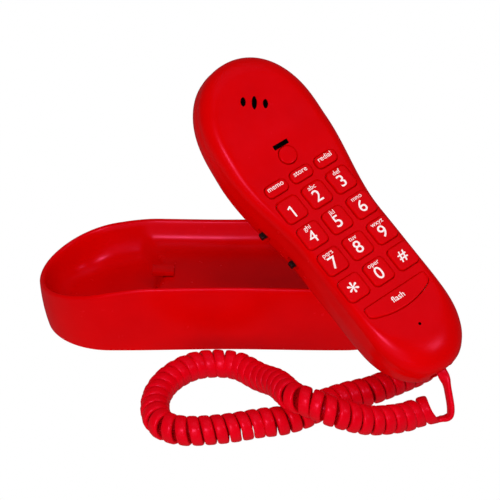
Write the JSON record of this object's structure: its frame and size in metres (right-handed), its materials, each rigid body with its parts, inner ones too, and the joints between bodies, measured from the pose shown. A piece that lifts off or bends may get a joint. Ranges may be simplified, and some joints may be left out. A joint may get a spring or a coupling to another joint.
{
  "type": "wall telephone",
  "caption": "Slimline red desk or wall telephone with push-button keypad in the handset, cradle base and curly cord.",
  "frame": {"origin": "centre of the two wall keyholes, on the outer face of the base's back plate", "axes": "+X along the base towards its cord end, +Y across the base, +Z out of the back plate and up through the cradle as it lies on a table"},
  "size_m": [0.224, 0.1581, 0.1443],
  "materials": {
    "red_plastic": "gloss",
    "cord_pvc": "satin",
    "black_plastic": "matte",
    "clear_plastic": "clear",
    "rubber": "matte",
    "membrane_rubber": "matte",
    "board": "satin",
    "steel": "brushed",
    "capsule_metal": "satin"
  },
  "bodies": {
    "root": {"base_cradle_shell": "red_plastic", "base_back_plate": "red_plastic", "base_circuit_board": "board", "ringer": "black_plastic", "base_cord_jack": "black_plastic", "line_jack": "black_plastic", "rubber_feet": "rubber", "base_screws": "steel", "base_plug": "clear_plastic", "cord_coil": "cord_pvc", "cord_base_tail": "cord_pvc"},
    "handset": {"handset_face_shell": "red_plastic", "handset_back_shell": "red_plastic", "keypad_membrane": "membrane_rubber", "handset_circuit_board": "board", "receiver_gasket": "rubber", "receiver_capsule": "capsule_metal", "microphone_boot": "rubber", "microphone_capsule": "capsule_metal", "hook_switch": "black_plastic", "volume_switch": "black_plastic", "tone_pulse_switch": "black_plastic", "handset_cord_jack": "black_plastic", "ballast_weight": "steel", "handset_screws": "steel", "handset_plug": "clear_plastic", "cord_handset_tail": "cord_pvc"},
    "hook_tab": {"hook_tab": "red_plastic"},
    "volume_knob": {"volume_knob": "black_plastic"},
    "tone_pulse_knob": {"tone_pulse_knob": "black_plastic"},
    "key_1": {"key_1": "red_plastic"},
    "key_2": {"key_2": "red_plastic"},
    "key_3": {"key_3": "red_plastic"},
    "key_4": {"key_4": "red_plastic"},
    "key_5": {"key_5": "red_plastic"},
    "key_6": {"key_6": "red_plastic"},
    "key_7": {"key_7": "red_plastic"},
    "key_8": {"key_8": "red_plastic"},
    "key_9": {"key_9": "red_plastic"},
    "key_star": {"key_star": "red_plastic"},
    "key_0": {"key_0": "red_plastic"},
    "key_hash": {"key_hash": "red_plastic"},
    "key_memo": {"key_memo": "red_plastic"},
    "key_store": {"key_store": "red_plastic"},
    "key_redial": {"key_redial": "red_plastic"},
    "key_flash": {"key_flash": "red_plastic"},
    "hook_plunger": {"hook_plunger": "red_plastic"}
  },
  "joints": [
    {"name": "handset_lift", "type": "slide", "parent": "root", "child": "handset", "axis": [0, 0, 1], "range_m": [0, 0.1]},
    {"name": "hook_tab_pull", "type": "slide", "parent": "root", "child": "hook_tab", "axis": [0, 0, 1], "range_m": [0, 0.012]},
    {"name": "key_1_press", "type": "slide", "parent": "handset", "child": "key_1", "axis": [-0.1166, 0.5266, -0.8421], "range_m": [0, 0.0012], "stiffness_N_per_m": 300},
    {"name": "key_2_press", "type": "slide", "parent": "handset", "child": "key_2", "axis": [-0.1166, 0.5266, -0.8421], "range_m": [0, 0.0012], "stiffness_N_per_m": 300},
    {"name": "key_3_press", "type": "slide", "parent": "handset", "child": "key_3", "axis": [-0.1166, 0.5266, -0.8421], "range_m": [0, 0.0012], "stiffness_N_per_m": 300},
    {"name": "key_4_press", "type": "slide", "parent": "handset", "child": "key_4", "axis": [-0.1166, 0.5266, -0.8421], "range_m": [0, 0.0012], "stiffness_N_per_m": 300},
    {"name": "key_5_press", "type": "slide", "parent": "handset", "child": "key_5", "axis": [-0.1166, 0.5266, -0.8421], "range_m": [0, 0.0012], "stiffness_N_per_m": 300},
    {"name": "key_6_press", "type": "slide", "parent": "handset", "child": "key_6", "axis": [-0.1166, 0.5266, -0.8421], "range_m": [0, 0.0012], "stiffness_N_per_m": 300},
    {"name": "key_7_press", "type": "slide", "parent": "handset", "child": "key_7", "axis": [-0.1166, 0.5266, -0.8421], "range_m": [0, 0.0012], "stiffness_N_per_m": 300},
    {"name": "key_8_press", "type": "slide", "parent": "handset", "child": "key_8", "axis": [-0.1166, 0.5266, -0.8421], "range_m": [0, 0.0012], "stiffness_N_per_m": 300},
    {"name": "key_9_press", "type": "slide", "parent": "handset", "child": "key_9", "axis": [-0.1166, 0.5266, -0.8421], "range_m": [0, 0.0012], "stiffness_N_per_m": 300},
    {"name": "key_star_press", "type": "slide", "parent": "handset", "child": "key_star", "axis": [-0.1166, 0.5266, -0.8421], "range_m": [0, 0.0012], "stiffness_N_per_m": 300},
    {"name": "key_0_press", "type": "slide", "parent": "handset", "child": "key_0", "axis": [-0.1166, 0.5266, -0.8421], "range_m": [0, 0.0012], "stiffness_N_per_m": 300},
    {"name": "key_hash_press", "type": "slide", "parent": "handset", "child": "key_hash", "axis": [-0.1166, 0.5266, -0.8421], "range_m": [0, 0.0012], "stiffness_N_per_m": 300},
    {"name": "key_memo_press", "type": "slide", "parent": "handset", "child": "key_memo", "axis": [-0.1796, 0.5938, -0.7843], "range_m": [0, 0.0012], "stiffness_N_per_m": 300},
    {"name": "key_store_press", "type": "slide", "parent": "handset", "child": "key_store", "axis": [-0.1796, 0.5938, -0.7843], "range_m": [0, 0.0012], "stiffness_N_per_m": 300},
    {"name": "key_redial_press", "type": "slide", "parent": "handset", "child": "key_redial", "axis": [-0.1796, 0.5938, -0.7843], "range_m": [0, 0.0012], "stiffness_N_per_m": 300},
    {"name": "key_flash_press", "type": "slide", "parent": "handset", "child": "key_flash", "axis": [-0.1166, 0.5266, -0.8421], "range_m": [0, 0.0012], "stiffness_N_per_m": 300},
    {"name": "hook_plunger_press", "type": "slide", "parent": "handset", "child": "hook_plunger", "axis": [-0.2263, 0.6404, -0.734], "range_m": [0, 0.0018], "stiffness_N_per_m": 200},
    {"name": "volume_slide", "type": "slide", "parent": "handset", "child": "volume_knob", "axis": [-0.5867, 0.6476, 0.4862], "range_m": [-0.002, 0.002]},
    {"name": "tone_pulse_slide", "type": "slide", "parent": "handset", "child": "tone_pulse_knob", "axis": [-0.5867, 0.6476, 0.4862], "range_m": [0, 0.002]}
  ]
}
